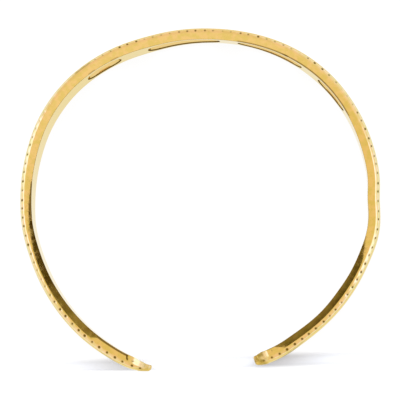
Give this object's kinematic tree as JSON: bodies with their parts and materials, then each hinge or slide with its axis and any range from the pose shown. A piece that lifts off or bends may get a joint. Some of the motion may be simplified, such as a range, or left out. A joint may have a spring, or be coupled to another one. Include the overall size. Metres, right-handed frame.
{
  "type": "toe ring",
  "caption": "Open adjustable toe ring: a thin domed band bent to a C, with beaded edges, rounded tips and a pierced front.",
  "frame": {"origin": "centre of the ring's box in plan, on the surface that the ring lies on", "axes": "+Z along the ring's axis, up from the surface it lies on; the gap between the tips faces -Y and the pierced front +Y"},
  "size_m": [0.016, 0.0154, 0.003],
  "materials": {
    "gold": "polished yellow gold with fine hand-polishing marks, darker in the notches between the beads"
  },
  "bodies": {
    "root": {"band": "gold"}
  },
  "joints": []
}
